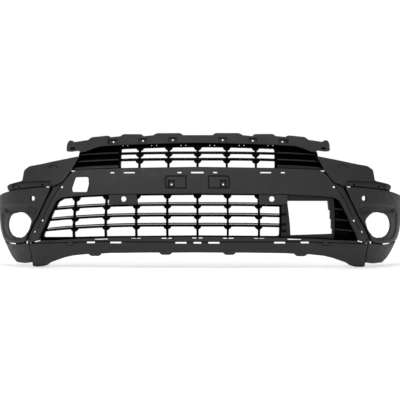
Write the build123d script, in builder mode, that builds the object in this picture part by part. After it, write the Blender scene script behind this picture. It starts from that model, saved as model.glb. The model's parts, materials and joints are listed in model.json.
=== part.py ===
from build123d import *
import os

# Front bumper cover of a car, in millimetres.
# X runs across the car, the nose points along -Y, Z is up and Z = 0 is the lowest edge.

# ---- driving dimensions -------------------------------------------------------------
DEPTH = 600.0          # nose to wheel-arch edge
FRONT = -DEPTH / 2     # Y of the foremost point
WALL = 3.0             # moulded wall thickness
RIM = 16.0             # depth of the flange that returns behind every panel edge
SENSOR_RADIUS = 10.75  # hole for a parking sensor
SENSOR_SPOT = (688, 288)                     # in each bezel
PLATE_SENSORS = ((-300, 285), (302, 285))    # in the plates of the lower grille
RETAINER_SPOT = (525, 104)                   # push-in retainer in each half of the valance
BOLT_RADIUS = 3.5      # clearance hole for an M6 bolt or clip

# Plan of the nose: (distance from the middle, distance behind the foremost point).
PLAN = ((300, 17.5), (450, 39.5), (600, 72), (720, 127), (820, 240), (880, 400), (910, DEPTH))
# Side profile: (height, extra set-back, fraction by which the plan is drawn in).
LEVELS = (
    (-20, 66, 0.056),
    (70, 35, 0.0315),
    (120, 20, 0.010),
    (180, 9, -0.001),
    (310, 0, 0.0),
    (430, 18, 0.015),
    (580, 120, 0.055),
)
PLAN_SAMPLES = 16      # points that carry the plan curve to its offsets


# ---- the outer surface and the shells behind it ---------------------------------------
def plan_curve(set_back, drawn_in):
    """Plan view of the outer surface at one level, left end to right end."""
    right = [(x * (1 - drawn_in), FRONT + set_back + y) for x, y in PLAN]
    left = [(-x, y) for x, y in reversed(right)]
    return Edge.make_spline([Vector(*p) for p in left + [(0, FRONT + set_back)] + right])


def inset_points(curve, inset):
    """Points of the plan curve, moved inwards by the inset along the curve's normal."""
    points = []
    for i in range(PLAN_SAMPLES + 1):
        u = i / PLAN_SAMPLES
        tangent = curve % u
        moved = curve @ u + Vector(-tangent.Y, tangent.X) * inset
        points.append((moved.X, moved.Y))
    return points


def skin(near, far):
    """Solid between two insets of the outer surface, over the whole cover."""
    with BuildPart() as shell:
        for height, set_back, drawn_in in LEVELS:
            curve = plan_curve(set_back, drawn_in)
            outer = inset_points(curve, near)
            inner = inset_points(curve, far)
            with BuildSketch(Plane.XY.offset(height)):
                with BuildLine():
                    Spline(*outer)
                    Line(outer[-1], inner[-1])
                    Spline(*reversed(inner))
                    Line(inner[0], outer[0])
                make_face()
        loft()
    return shell.part


def prism(outline, rise=0.0):
    """A front-view outline carried straight back through the whole cover.

    A rise tips it, so that it climbs by that much for each millimetre backwards."""
    with BuildPart() as block:
        with BuildSketch(Plane.XZ.offset(-FRONT + 10)):
            add(outline)
        extrude(amount=DEPTH + 20, dir=(0, 1, rise))
    return block.part


def outline(*points, radius=2.0):
    """Closed front-view outline with rounded corners."""
    with BuildSketch() as face:
        with BuildLine():
            FilletPolyline(*points, radius=radius, close=True)
        make_face()
    return face.sketch


def both_sides(*points):
    """Front-view outline drawn for the right half only, and mirrored."""
    with BuildSketch() as face:
        with BuildLine():
            Polyline(*points)
            mirror(about=Plane.YZ)
        make_face()
    return face.sketch


def inside(sketch, distance=WALL):
    """The sketch shrunk by a distance, or grown by a negative one."""
    with BuildSketch() as face:
        add(sketch)
        offset(amount=-distance, mode=Mode.REPLACE)
    return face.sketch


def slots(centres, height, size, mirrored=True):
    """Row of round-ended slots at one height; centres are distances from the middle."""
    with BuildSketch() as row:
        spots = [(x, height) for x in centres]
        if mirrored:
            spots += [(-x, height) for x in centres if x]
        with Locations(*spots):
            SlotOverall(*size)
    return row.sketch


def circles(spots, radius):
    """Round holes in front view."""
    with BuildSketch() as holes:
        with Locations(*spots):
            Circle(radius)
    return holes.sketch


STEP = 3.0             # depth of the shallow steps in the panels
POCKET = 12.0          # depth of the deep pockets
BEHIND = 90.0          # well behind every flange
EDGE_SKIN = skin(0, RIM)
HOLLOW_SKIN = skin(WALL, BEHIND)
STEP_SKIN = skin(-8, STEP)
STEP_HOLLOW_SKIN = skin(STEP + WALL, BEHIND)
POCKET_SKIN = skin(-8, POCKET)


def panel(shape, steps=(), pockets=(), holes=(), trims=()):
    """Moulded panel: a wall on the outer surface with a flange round its edge.

    The wall follows the steps that are sunk into the front. Behind a pocket it is as
    deep as the flange. Holes go right through. Trims are solids cut away."""
    with BuildSketch() as pierced:
        add(shape)
        for hole in holes:
            add(hole, mode=Mode.SUBTRACT)
    with BuildSketch() as hollow:
        add(inside(shape))
        for sunk in list(steps) + list(pockets):
            add(inside(sunk, -WALL), mode=Mode.SUBTRACT)
    cuts = list(prism(hollow.sketch).intersect(HOLLOW_SKIN))
    if steps:
        with BuildSketch() as stepped:
            for step in steps:
                add(inside(step, -WALL))
            add(inside(shape), mode=Mode.INTERSECT)
            for pocket in pockets:
                add(inside(pocket, -WALL), mode=Mode.SUBTRACT)
        cuts += prism(stepped.sketch).intersect(STEP_HOLLOW_SKIN)
    for step in steps:
        cuts += prism(step).intersect(STEP_SKIN)
    for pocket in pockets:
        cuts += prism(pocket).intersect(POCKET_SKIN)
    block = prism(pierced.sketch)
    with BuildPart() as piece:
        add(block)
        add(EDGE_SKIN, mode=Mode.INTERSECT)
        add(cuts, mode=Mode.SUBTRACT)
        if trims:
            add(trims, mode=Mode.SUBTRACT)
    return piece.part


def surface_plane(x, z, inset=0.0):
    """Plane that lies in the outer surface at (x, z), facing out, moved in by the inset."""
    spots = EDGE_SKIN.find_intersection_points(Axis((x, 2 * FRONT, z), (0, 1, 0)))
    point, normal = min(spots, key=lambda spot: spot[0].Y)
    if normal.Y > 0:
        normal = normal * -1
    return Plane(origin=point - normal * inset, x_dir=(0, 0, 1), z_dir=normal)


def mirrored(solid):
    """The same piece for the other side of the car."""
    return solid.mirror(Plane.YZ)


def save(name, solid):
    """Label a finished piece and write it as its own file."""
    solid.label = name
    export_step(solid, "parts/" + name + ".step")


os.makedirs("parts", exist_ok=True)


# ---- wheel arch -------------------------------------------------------------------
# Side view, (distance behind the foremost point, height): everything behind the line goes.
ARCH_FOOT = (485, 84)
ARCH_MIDDLE = (509, 140)
ARCH_TOP = (DEPTH, 288)
with BuildPart() as arch_cut:
    with BuildSketch(Plane.YZ):
        with BuildLine(mode=Mode.PRIVATE) as arch_line:
            Polyline((FRONT + 250, -30), (FRONT + 300, 8), (FRONT + 370, 32),
                     (FRONT + 440, 62), (FRONT + ARCH_FOOT[0], ARCH_FOOT[1]))
            ThreePointArc((FRONT + ARCH_FOOT[0], ARCH_FOOT[1]),
                          (FRONT + ARCH_MIDDLE[0], ARCH_MIDDLE[1]),
                          (FRONT + ARCH_TOP[0], ARCH_TOP[1]))
            Polyline((FRONT + ARCH_TOP[0], ARCH_TOP[1]), (FRONT + DEPTH + 120, ARCH_TOP[1]),
                     (FRONT + DEPTH + 120, -30), (FRONT + 250, -30))
        make_face(arch_line.edges())
    extrude(amount=1000, both=True)
ARCH_CUT = arch_cut.part


# ---- centre band with the two pillars -------------------------------------------------
BAND_TOP = 415
BAND_FOOT = 308
PLATE_PITCH = 210.0            # between the two number-plate screws
PLATE_SCREW_HEIGHT = 344
BAND_SHAPE = both_sides(
    (0, BAND_TOP), (323, 410), (481, 405), (510, 398), (521, 390), (553, 354), (596, 334),
    (628, 277), (660, 215), (698, 152), (716, 118), (712, 102), (667, 113), (662, 117),
    (652, 143), (634, 174), (617, 211), (601, 242), (582, 277), (560, 291), (500, 297),
    (367, 304), (0, BAND_FOOT))
TOW_HOLE = outline((-499, 374), (-447, 375), (-445, 346), (-453, 314), (-513, 314),
                   (-514, 330), radius=7)
PLATE_STEPS = [
    outline((43, 327), (129, 327), (131, 368), (122, 380), (43, 380), radius=3),
    outline((-43, 327), (-129, 327), (-131, 368), (-122, 380), (-43, 380), radius=3),
]
PLATE_POCKETS = [
    outline((91, 334), (120, 334), (120, 363), (91, 363), radius=3),
    outline((-91, 334), (-120, 334), (-120, 363), (-91, 363), radius=3),
]
PILLAR_STEPS = [
    outline((-548, 352), (-566, 345), (-604, 275), (-636, 214), (-668, 158), (-688, 124),
            (-676, 124), (-654, 160), (-622, 216), (-592, 274), radius=3),
    outline((548, 352), (566, 345), (604, 275), (636, 214), (668, 158), (688, 124),
            (676, 124), (654, 160), (622, 216), (592, 274), radius=3),
]
BAND_HOLES = [
    TOW_HOLE,
    slots((0,), 392, (52, 6)),
    slots((72, 347), 392, (16, 5)),
    slots((277,), 392, (45, 5)),
    circles([(PLATE_PITCH / 2, PLATE_SCREW_HEIGHT), (-PLATE_PITCH / 2, PLATE_SCREW_HEIGHT)],
            BOLT_RADIUS),
    circles([(557, 334), (-557, 334), (643, 196), (-643, 196), (680, 150), (-680, 150)], 4.0),
]
save("centre_band", panel(BAND_SHAPE, PLATE_STEPS + PILLAR_STEPS, PLATE_POCKETS, BAND_HOLES))


# ---- wing under each headlamp ---------------------------------------------------------
WING_SHAPE = outline(
    (488, 462), (568, 447), (654, 430), (706, 422), (729, 406), (736, 363), (747, 359),
    (805, 348), (819, 339), (811, 322), (739, 330), (652, 337), (601, 336), (558, 354),
    (541, 373), (517, 408), radius=(3, 3, 3, 14, 14, 6, 6, 6, 6, 3, 3, 3, 3, 3, 3, 3))
WING_LEDGE = outline((604, 359), (735, 357), (747, 355), (803, 344), (830, 336), (830, 312),
                     (739, 320), (652, 328), (594, 330), radius=2)
WING_HOLES = [circles([(648, 345), (762, 337)], 4.0)]
wing = panel(WING_SHAPE, [WING_LEDGE], (), WING_HOLES)
save("wing_right", wing)
save("wing_left", mirrored(wing))


# ---- bezel round each fog lamp opening, back to the wheel arch ------------------------
BEZEL_SHAPE = outline(
    (606, 333), (652, 333), (739, 326), (811, 317), (860, 306), (930, 290), (930, 107),
    (862, 105), (828, 97), (782, 97), (735, 103), (723, 115), (704, 152), (665, 215),
    (633, 277), radius=(3, 3, 3, 3, 8, 8, 3, 3, 3, 3, 8, 8, 3, 3, 3))
BEZEL_POCKET = outline(
    (664, 240), (702, 257), (786, 257), (842, 247), (860, 225), (860, 150), (846, 120),
    (814, 108), (752, 108), (728, 126), (708, 160), (680, 205),
    radius=(10, 10, 10, 10, 10, 20, 10, 15, 15, 10, 10, 10))
with BuildSketch() as lamp_hole:
    with BuildLine():
        Spline((766, 230), (721, 220), (698, 187), (715, 146), (758, 122), (806, 131),
               (826, 171), (808, 213), periodic=True)
    make_face()
BEZEL_HOLES = [lamp_hole.sketch, circles([SENSOR_SPOT], SENSOR_RADIUS)]
bezel = panel(BEZEL_SHAPE, (), [BEZEL_POCKET], BEZEL_HOLES, [ARCH_CUT])
save("fog_bezel_right", bezel)
save("fog_bezel_left", mirrored(bezel))


# ---- lower valance --------------------------------------------------------------------
VALANCE_SHAPE = both_sides(
    (0, 132), (245, 129), (369, 126), (498, 121), (566, 116), (654, 112), (708, 98),
    (703, 60), (702, 2), (687, 0), (662, 2), (639, 8), (621, 20), (593, 30), (558, 42),
    (519, 51), (464, 57), (359, 63), (193, 66), (0, 67))
TAB_SPOTS = ((130, 66), (424, 60))     # undertray screw tabs on the lower edge
RETAINER_SHANK = 4.0    # radius
SHANK_GAP = 0.6         # room for the shank in its hole
seat = surface_plane(*RETAINER_SPOT, STEP)
with BuildPart() as retainer_hole:
    with BuildSketch(seat.offset(2 * STEP)):
        Circle(RETAINER_SHANK + SHANK_GAP)
    extrude(amount=-6 * STEP)
with BuildSketch() as valance_shape:
    add(VALANCE_SHAPE)
    for tab_x, tab_z in TAB_SPOTS:
        with Locations((tab_x, tab_z), (-tab_x, tab_z)):
            RectangleRounded(42, 18, 8.9)
VALANCE_SLOTS = [
    slots((0,), 107, (32, 6)),
    slots((67, 335), 107, (46, 6)),
    slots((439,), 107, (34, 6)),
    slots((0, 126, 253), 126, (42, 5)),
    slots((398,), 121, (60, 5)),
]
VALANCE_STEP = both_sides(
    (0, 150), (720, 150), (720, 92), (660, 100), (566, 105), (545, 101), (541, 90), (509, 90),
    (505, 101), (480, 107), (369, 108), (0, 108))
RETAINER_HOLES = [retainer_hole.part, mirrored(retainer_hole.part)]
save("lower_valance",
     panel(valance_shape.sketch, [VALANCE_STEP], (), VALANCE_SLOTS, RETAINER_HOLES))

CORNER_SHAPE = outline(
    (711, 99), (735, 98), (782, 91), (828, 91), (862, 100), (930, 102), (930, 12), (742, 12),
    (730, 14), (705, 18), (706, 60), radius=3)
corner = panel(CORNER_SHAPE, (), (), (), [ARCH_CUT])
save("valance_corner_right", corner)
save("valance_corner_left", mirrored(corner))


# ---- top rail, which bolts to the front panel of the car --------------------------------
RAIL_BOLTS = ((103, 528), (227, 525), (350, 521))
RAIL_SHAPE = both_sides(
    (0, 549), (61, 549), (73, 558), (169, 558), (185, 549), (226, 545), (235, 554), (310, 555),
    (322, 546), (366, 542), (377, 549), (444, 543), (456, 530), (519, 522), (529, 530),
    (538, 528), (546, 516), (545, 485), (527, 481), (494, 485), (486, 478), (466, 480),
    (436, 493), (403, 503), (319, 508), (121, 514), (0, 516))
RAIL_STEPS = [outline((x - 18, z - 11), (x + 18, z - 11), (x + 18, z + 11), (x - 18, z + 11),
                      radius=4)
              for bolt, z in RAIL_BOLTS for x in (-bolt, bolt)]
RAIL_HOLES = [
    circles([(x, z) for x, z in RAIL_BOLTS] + [(-x, z) for x, z in RAIL_BOLTS], BOLT_RADIUS),
    slots((519,), 494, (16, 8)),
]
save("top_rail", panel(RAIL_SHAPE, RAIL_STEPS, (), RAIL_HOLES))


# ---- grilles ----------------------------------------------------------------------------
GRILLE_NEAR = 17.0      # front of the grille bars, behind the outer surface
GRILLE_FAR = 50.0       # back of the grille bars
BORDER = 6.0            # frame round each grille
BAR = 6.0               # thickness of a slat
RIB = 7.0               # thickness of an upright
GRILLE_SKIN = skin(GRILLE_NEAR, GRILLE_FAR)
BACKING_SKIN = skin(GRILLE_FAR - 3.5, GRILLE_FAR - 0.5)
SLAT_RISE = 0.2         # slats climb towards the back
UPPER_RISE = 0.06       # the upper ones hardly do
DROOP = 24.0            # how far the slats bow down at DROOP_REACH from the middle
DROOP_REACH = 650.0


def slat_height(x, height, rise):
    """Height of a slat at x in the drawing plane, from its height in the middle.

    What the rise adds where the surface falls back is taken off beforehand."""
    fall_back = GRILLE_NEAR + 10 + 90 * (abs(x) / DROOP_REACH) ** 2.6
    return height - DROOP * (abs(x) / DROOP_REACH) ** 3 - rise * fall_back


def bar(height, first, last, thickness=BAR, rise=SLAT_RISE):
    """Slat in front view from first to last, bowed down towards the ends."""
    steps = 8
    spots = [first + (last - first) * i / steps for i in range(steps + 1)]
    top = [(x, slat_height(x, height, rise) + thickness / 2) for x in spots]
    foot = [(x, z - thickness) for x, z in top]
    with BuildSketch() as slat:
        with BuildLine():
            Spline(*top)
            Line(top[-1], foot[-1])
            Spline(*reversed(foot))
            Line(foot[0], top[0])
        make_face()
    return slat.sketch


def rib(x, low, high, lean, heights, rise=SLAT_RISE):
    """Upright rib, leaning out by so much at its foot, with a gusset under each slat."""
    half, drop = 16, 20
    with BuildSketch() as upright:
        with BuildLine():
            Polyline((x - RIB / 2 + lean, low), (x + RIB / 2 + lean, low),
                     (x + RIB / 2, high), (x - RIB / 2, high), close=True)
        make_face()
        for height in heights:
            level = slat_height(x, height, rise)
            with BuildLine():
                Polyline((x - half, level), (x + half, level), (x, level - drop), close=True)
            make_face()
    return upright.sketch


def grille(field, opening, bars, holes=(), rise=SLAT_RISE):
    """Grille: slats and ribs that stay inside the field, in a frame round the opening."""
    with BuildSketch() as frame:
        add(field)
        add(opening, mode=Mode.SUBTRACT)
        for hole in holes:
            add(hole, mode=Mode.SUBTRACT)
    with BuildSketch() as face:
        for piece in bars:
            add(piece)
    bar_block = prism(face.sketch, rise)
    field_block = prism(field)
    frame_block = prism(frame.sketch)
    with BuildPart() as piece:
        add(bar_block)
        add(field_block, mode=Mode.INTERSECT)
        add(frame_block)
        add(GRILLE_SKIN, mode=Mode.INTERSECT)
    return piece.part


def louvre(field, bars, rise=SLAT_RISE):
    """Blind grille: the same as a grille, closed at the back by a thin wall."""
    wall = prism(inside(field, 1)).intersect(BACKING_SKIN)
    slats = grille(field, inside(field), bars, (), rise)
    with BuildPart() as piece:
        add(slats)
        add(wall)
    return piece.part


LOWER_SLATS = (261, 218, 177)
RADAR_SIDE = 341        # the lower grille ends here, beside the radar frame
TOUCH = 0.4             # gap between two grille pieces
LOWER_FIELD = outline(
    (RADAR_SIDE, 308), (0, 311), (-367, 307), (-500, 300), (-563, 293), (-585, 279),
    (-604, 244), (-620, 213), (-637, 176), (-655, 145), (-668, 110), (-498, 112),
    (-369, 117), (0, 122), (RADAR_SIDE, 118), radius=2)
LOWER_FRAME = outline(
    (RADAR_SIDE - BORDER, 299), (0, 301), (-367, 297), (-500, 290), (-556, 285), (-577, 273),
    (-596, 241), (-612, 209), (-629, 172), (-645, 142), (-650, 127), (-498, 129),
    (-369, 133), (0, 137), (RADAR_SIDE - BORDER, 134), radius=8)
LOWER_SLOTS = [slots((0, 126, 253), 126, (46, 7)), slots((398,), 121, (64, 7))]
lower_bars = [bar(height, -DROOP_REACH, RADAR_SIDE) for height in LOWER_SLATS]
for x, lean in ((0, 0), (123, 1), (250, 2), (-123, -1), (-250, -2), (-374, -6), (-502, -14)):
    lower_bars.append(rib(x, 80, 320, lean, LOWER_SLATS + (302,)))
save("lower_grille", grille(LOWER_FIELD, LOWER_FRAME, lower_bars, LOWER_SLOTS))

UPPER_SLATS = (473, 446)
UPPER_SIDE = 325
UPPER_FIELD = both_sides((0, 409), (UPPER_SIDE, 405), (UPPER_SIDE, 511), (121, 518), (0, 520))
UPPER_FRAME = outline(
    (-317, 491), (-121, 497), (0, 498), (121, 497), (317, 491), (317, 412), (0, 416),
    (-317, 412), radius=6)
UPPER_DOTS = [circles([(x - 10, 506), (x + 10, 506)], 2.2)
              for x in (-303, -182, -60, 60, 182, 303)]
upper_bars = [bar(height, -UPPER_SIDE, UPPER_SIDE, BAR, UPPER_RISE) for height in UPPER_SLATS]
for x in (-240, -120, 0, 120, 240):
    upper_bars.append(rib(x, 380, 530, 0, UPPER_SLATS + (500,), UPPER_RISE))
save("upper_grille", grille(UPPER_FIELD, UPPER_FRAME, upper_bars, UPPER_DOTS, UPPER_RISE))

LOUVRE_SIDE = UPPER_SIDE + TOUCH
UPPER_LOUVRE_FIELD = outline(
    (LOUVRE_SIDE, 404), (LOUVRE_SIDE, 512), (403, 508), (440, 497), (470, 484), (489, 481),
    (492, 462), (523, 403), (481, 401), (400, 403), radius=1)
upper_fins = [bar(height, 300, 560, thickness, UPPER_RISE)
              for height, thickness in ((479, 6), (450, 6), (424, 9))]
upper_louvre = louvre(UPPER_LOUVRE_FIELD, upper_fins, UPPER_RISE)
save("upper_louvre_right", upper_louvre)
save("upper_louvre_left", mirrored(upper_louvre))

RADAR_RIGHT = 562
LOWER_LOUVRE_FIELD = outline(
    (RADAR_RIGHT + TOUCH, 292), (588, 281), (608, 245), (624, 214), (641, 177), (659, 146),
    (672, 108), (RADAR_RIGHT + TOUCH, 108), radius=1)
save("lower_louvre", louvre(LOWER_LOUVRE_FIELD, [bar(h, 540, 690) for h in LOWER_SLATS]))

RADAR_OPENING = outline(
    (368, 277), (537, 277), (541, 240), (547, 238), (547, 203), (552, 201), (552, 163),
    (557, 161), (557, 142), (383, 137), radius=1.5)
RADAR_FIELD = outline(
    (RADAR_SIDE + TOUCH, 308), (500, 301), (RADAR_RIGHT, 292), (RADAR_RIGHT, 108),
    (500, 110), (RADAR_SIDE + TOUCH, 117), radius=2)
radar_wall = prism(inside(RADAR_OPENING, -WALL))
radar_holes = [prism(RADAR_OPENING), prism(slots((398,), 121, (64, 7), False))]
with BuildPart() as radar_frame:
    add(prism(RADAR_FIELD))
    add(skin(GRILLE_NEAR, GRILLE_NEAR + WALL), mode=Mode.INTERSECT)
    add(radar_wall.intersect(skin(GRILLE_NEAR + 1, GRILLE_FAR)))
    add(radar_holes, mode=Mode.SUBTRACT)
save("radar_frame", radar_frame.part)


# ---- sensor plates in the lower grille, and the four sensor holders -----------------------
SENSOR_PLATES = {
    "sensor_plate_left": (outline((-361, 262), (-246, 262), (-246, 303.5), (-361, 302), radius=4),
                          PLATE_SENSORS[0]),
    "sensor_plate_right": (outline((250, 262), (366, 262), (366, 302), (250, 303.5), radius=4),
                           PLATE_SENSORS[1]),
}
for name, (shape, spot) in SENSOR_PLATES.items():
    save(name, panel(shape, (), (), [circles([spot], SENSOR_RADIUS)]))


def sensor_holder(x, z):
    """Ring welded behind the wall, with two latches for the sensor body."""
    seat = surface_plane(x, z, WALL + 0.3)
    with BuildPart() as ring:
        with BuildSketch(seat):
            Circle(14)
            Circle(SENSOR_RADIUS + 0.6, mode=Mode.SUBTRACT)
        extrude(amount=-2)
        with BuildSketch(seat):
            Circle(13.6)
            Circle(12, mode=Mode.SUBTRACT)
            Rectangle(40, 9, mode=Mode.SUBTRACT)
        extrude(amount=-10)
    return ring.part


save("sensor_holder_inner_left", sensor_holder(*PLATE_SENSORS[0]))
save("sensor_holder_inner_right", sensor_holder(*PLATE_SENSORS[1]))
save("sensor_holder_outer_right", sensor_holder(*SENSOR_SPOT))
save("sensor_holder_outer_left", sensor_holder(-SENSOR_SPOT[0], SENSOR_SPOT[1]))


# ---- joining strips welded across the backs of the flanges ---------------------------------
STRIP_SKIN = skin(RIM + 0.3, RIM + 2.8)


def strip(shape):
    """Flat strip that follows the flanges from behind."""
    return prism(shape).intersect(STRIP_SKIN)[0]


STRIPS = {
    "pillar_bracket": outline(
        (512, 399), (531, 399), (560, 366), (606, 345), (618, 330), (650, 264), (684, 198),
        (718, 134), (720, 97), (684, 103), (686, 146), (666, 190), (632, 256), (594, 320),
        (560, 338), (536, 366), radius=3),
    "headlamp_bracket": outline((628, 354), (815, 344), (815, 303), (628, 318), radius=4),
    "valance_joiner": outline(
        (692, 91), (725, 91), (725, 112), (786, 108), (786, 80), (722, 76), (722, 20),
        (692, 16), radius=3),
}
for name, shape in STRIPS.items():
    piece = strip(shape)
    save(name + "_right", piece)
    save(name + "_left", mirrored(piece))


# ---- push-in retainers with sliding centre pins ----------------------------------------------
PIN_RADIUS = 2.0
PIN_FIT = 0.05          # running clearance of the pin in its sleeve
SHANK_LENGTH = 12.0
HEAD_RADIUS = 9.0       # head of the retainer
HEAD = 1.8              # its thickness
HEAD_GAP = 0.3          # between the head and the valance
DISH_DEPTH = 1.0        # dish in the head that takes the pin's head
DISH_GAP = 0.2          # round the pin's head
DISH_FLOOR_GAP = 0.1    # under the pin's head
PIN_HEAD_RADIUS = 4.2
PIN_HEAD = 1.6          # its thickness
head_top = seat.offset(HEAD_GAP + HEAD)
pin_seat = seat.offset(HEAD_GAP + HEAD - DISH_DEPTH + DISH_FLOOR_GAP)
with BuildPart() as retainer:
    with BuildSketch(seat.offset(HEAD_GAP)):
        Circle(HEAD_RADIUS)
    extrude(amount=HEAD)
    with BuildSketch(seat.offset(HEAD_GAP)):
        Circle(RETAINER_SHANK)
    extrude(amount=-SHANK_LENGTH)
    with BuildSketch(head_top):
        Circle(PIN_HEAD_RADIUS + DISH_GAP)
    extrude(amount=-DISH_DEPTH, mode=Mode.SUBTRACT)
    with BuildSketch(head_top):
        Circle(PIN_RADIUS + PIN_FIT)
    extrude(amount=-2 * SHANK_LENGTH, mode=Mode.SUBTRACT)
with BuildPart() as pin:
    with BuildSketch(pin_seat):
        Circle(PIN_HEAD_RADIUS)
    extrude(amount=PIN_HEAD)
    with BuildSketch(pin_seat):
        Circle(PIN_RADIUS)
    extrude(amount=-SHANK_LENGTH)
save("retainer_right", retainer.part)
save("retainer_left", mirrored(retainer.part))
save("retainer_pin_right", pin.part)
save("retainer_pin_left", mirrored(pin.part))
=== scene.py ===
import json
import math

import bmesh
import bpy
import numpy as np
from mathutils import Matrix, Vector
from mathutils.geometry import delaunay_2d_cdt


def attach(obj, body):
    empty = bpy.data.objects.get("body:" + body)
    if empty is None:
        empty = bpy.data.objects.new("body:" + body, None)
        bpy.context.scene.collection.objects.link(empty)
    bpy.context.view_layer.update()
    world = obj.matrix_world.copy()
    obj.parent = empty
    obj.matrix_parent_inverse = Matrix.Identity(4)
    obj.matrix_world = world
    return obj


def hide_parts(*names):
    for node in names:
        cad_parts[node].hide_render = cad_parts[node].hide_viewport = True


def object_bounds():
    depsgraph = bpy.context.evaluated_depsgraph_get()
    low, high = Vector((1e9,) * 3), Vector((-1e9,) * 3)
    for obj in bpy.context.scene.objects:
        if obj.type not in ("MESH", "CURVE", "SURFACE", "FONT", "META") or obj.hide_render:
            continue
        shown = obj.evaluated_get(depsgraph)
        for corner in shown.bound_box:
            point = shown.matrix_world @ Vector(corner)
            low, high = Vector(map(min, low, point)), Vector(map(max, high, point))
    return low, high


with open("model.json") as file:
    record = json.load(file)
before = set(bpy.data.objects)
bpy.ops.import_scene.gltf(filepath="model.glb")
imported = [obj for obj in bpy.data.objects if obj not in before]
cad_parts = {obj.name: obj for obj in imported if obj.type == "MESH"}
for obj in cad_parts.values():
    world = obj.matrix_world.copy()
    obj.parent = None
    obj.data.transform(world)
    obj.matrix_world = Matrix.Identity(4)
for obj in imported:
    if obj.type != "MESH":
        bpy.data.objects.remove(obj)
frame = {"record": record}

CAD_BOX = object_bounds()

# ---- driving sizes ----------------------------------------------------------------------------
# Shapes of the cover are in millimetres; MM turns them into Blender metres.
MM = 0.001
LOW = CAD_BOX[0]
FRONT = LOW[1]                   # the foremost point of the cover, in metres
CAMERA_DISTANCE = 4.5            # from the foremost point
CAMERA_SIDE = 0.10               # the camera stands a little to one side of the middle
CAMERA_HEIGHT = 0.281
AIM_SIDE = 0.011                 # where the view is centred
FOCAL_MM = 100.25
SIDE_LIGHT = 0.5                 # brightness of the surroundings to the sides
FLOOR_GLOW = 0.25                # light that the floor gives off, which keeps its shadows faint
WALL = 3.0                       # moulded wall thickness
EDGE_RADIUS = 1.4                # rounding of every panel edge
EDGE_STEPS = 3                   # flat strips in that rounding
FLANGE = 14.0                    # depth of the flange round a cover panel
SMOOTH_ANGLE = 35                # degrees; a fold sharper than this stays a crease
NET_SPACING = 8.0                # between the points of a panel's net
BOLT_RADIUS = 3.5
CLIP_RADIUS = 4.0                # holes for small trim clips
SENSOR_RADIUS = 10.75            # hole for a parking sensor
SENSOR_RECESS = (15, 0.8, 1.0)   # radius, depth and slope of the shallow ring round it
SENSOR_SPOT = (688, 288)         # in each bezel
GRILLE_NEAR = 17.0               # front of the grille bars, behind the outer surface
GRILLE_FAR = 50.0                # back of the grille bars

# Plan of the nose: (distance from the middle, distance behind the foremost point).
PLAN = ((0, 0), (300, 17.5), (450, 39.5), (600, 72), (720, 127), (820, 240), (880, 400), (910, 600))
# Side profile: (height, extra set-back, fraction by which the plan is drawn in).
LEVELS = ((-20, 66, 0.056), (70, 35, 0.0315), (120, 20, 0.010), (180, 9, -0.001), (310, 0, 0.0),
          (430, 18, 0.015), (580, 120, 0.055))


# ---- the outer surface, the same one that the CAD pieces follow -----------------------------
def smooth_curve(knots, values):
    """Natural cubic spline through the values, as a function."""
    knots = np.asarray(knots, float)
    values = np.asarray(values, float)
    gap = np.diff(knots)
    slope = np.diff(values) / gap
    size = len(knots)
    system = np.eye(size)
    right = np.zeros(size)
    for i in range(1, size - 1):
        system[i, i - 1:i + 2] = gap[i - 1], 2 * (gap[i - 1] + gap[i]), gap[i]
        right[i] = 6 * (slope[i] - slope[i - 1])
    bend = np.linalg.solve(system, right)

    def value(at):
        at = np.asarray(at, float)
        i = np.clip(np.searchsorted(knots, at) - 1, 0, size - 2)
        h = gap[i]
        a = (knots[i + 1] - at) / h
        b = (at - knots[i]) / h
        curve = (a ** 3 - a) * bend[i] + (b ** 3 - b) * bend[i + 1]
        return a * values[i] + b * values[i + 1] + curve * h * h / 6

    return value


MIRRORED_PLAN = [(-x, y) for x, y in reversed(PLAN[1:])] + list(PLAN)
CHORDS = [math.dist(a, b) for a, b in zip(MIRRORED_PLAN, MIRRORED_PLAN[1:])]
KNOTS = np.concatenate([[0], np.cumsum(CHORDS)]) - sum(CHORDS) / 2
PLAN_X = smooth_curve(KNOTS, [p[0] for p in MIRRORED_PLAN])
PLAN_Y = smooth_curve(KNOTS, [p[1] for p in MIRRORED_PLAN])
SET_BACK = smooth_curve([r[0] for r in LEVELS], [r[1] for r in LEVELS])
DRAWN_IN = smooth_curve([r[0] for r in LEVELS], [r[2] for r in LEVELS])
TABLE_SIZE = 4001                # odd, so that the middle of the cover is one of the entries
S_TABLE = np.linspace(KNOTS[0], KNOTS[-1], TABLE_SIZE)
X_TABLE = PLAN_X(S_TABLE)
Y_TABLE = PLAN_Y(S_TABLE)


def surface(s, z, inset=0.0):
    """Point of the outer surface in metres, moved in by the inset. All arguments are in mm."""
    s = np.asarray(s, float)
    z = np.asarray(z, float)
    keep = 1 - DRAWN_IN(z)
    dx = (PLAN_X(s + 0.5) - PLAN_X(s - 0.5)) * keep
    dy = PLAN_Y(s + 0.5) - PLAN_Y(s - 0.5)
    length = np.hypot(dx, dy)
    x = PLAN_X(s) * keep - dy / length * inset
    y = PLAN_Y(s) + SET_BACK(z) + dx / length * inset
    return np.stack([x * MM, FRONT + y * MM, z * MM + 0 * x], axis=-1)


def straight_back(where, inset, depth):
    """Points of the surface moved in by the inset, and then straight back by the depth."""
    points = surface(where[:, 0], where[:, 1], inset)
    points[:, 1] += depth * MM
    return points


def along(x, z):
    """Distance round the nose, in mm, of the surface point that shows at (x, z) from the front."""
    return float(np.interp(x / (1 - float(DRAWN_IN(z))), X_TABLE, S_TABLE))


def flat(points):
    """Front-view points (x, z) carried to (distance round the nose, z)."""
    return [(along(x, z), z) for x, z in points]


def beside(points):
    """Right-hand side-view points (distance behind the nose, z) carried to (round the nose, z)."""
    half = len(S_TABLE) // 2
    return [(float(np.interp(y - float(SET_BACK(z)), Y_TABLE[half:], S_TABLE[half:])), z)
            for y, z in points]


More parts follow.
